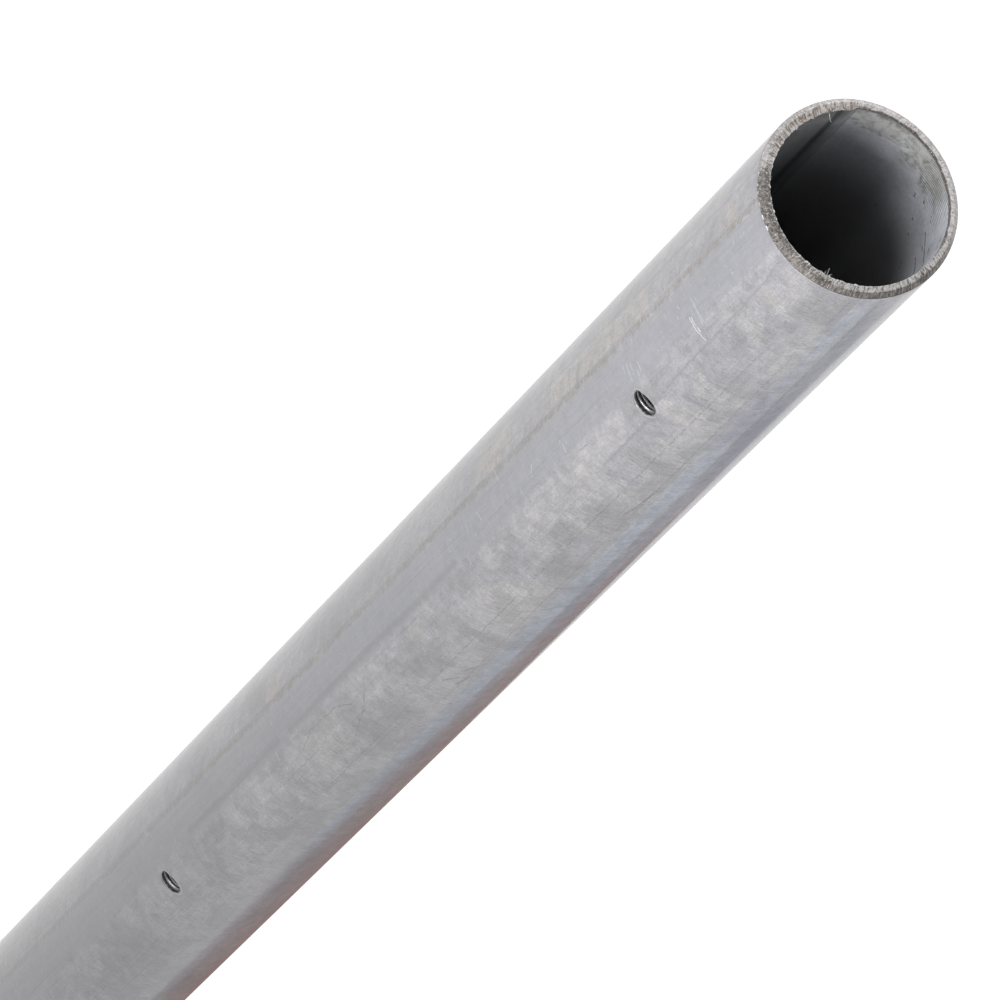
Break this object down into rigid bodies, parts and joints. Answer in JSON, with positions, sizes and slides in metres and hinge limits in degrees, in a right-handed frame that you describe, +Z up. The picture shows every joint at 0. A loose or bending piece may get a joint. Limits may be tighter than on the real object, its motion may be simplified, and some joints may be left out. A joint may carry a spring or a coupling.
{
  "type": "metal fence post",
  "caption": "Straight round galvanised steel tube, open and bevelled at its sawn ends, with tapped holes in a line down its front, that stands as a fence post.",
  "frame": {"origin": "centre of the foot's sawn end, in the plane that the post stands on", "axes": "+Z up the post to its open top, -Y out of the tapped holes, +X to the right seen from the holes' side"},
  "size_m": [0.0484, 0.0483, 1.5],
  "materials": {
    "galvanised_steel": "galvanised, dull grey, scuffed, with bare sawn ends"
  },
  "bodies": {
    "root": {"post_tube": "galvanised_steel"}
  },
  "joints": []
}
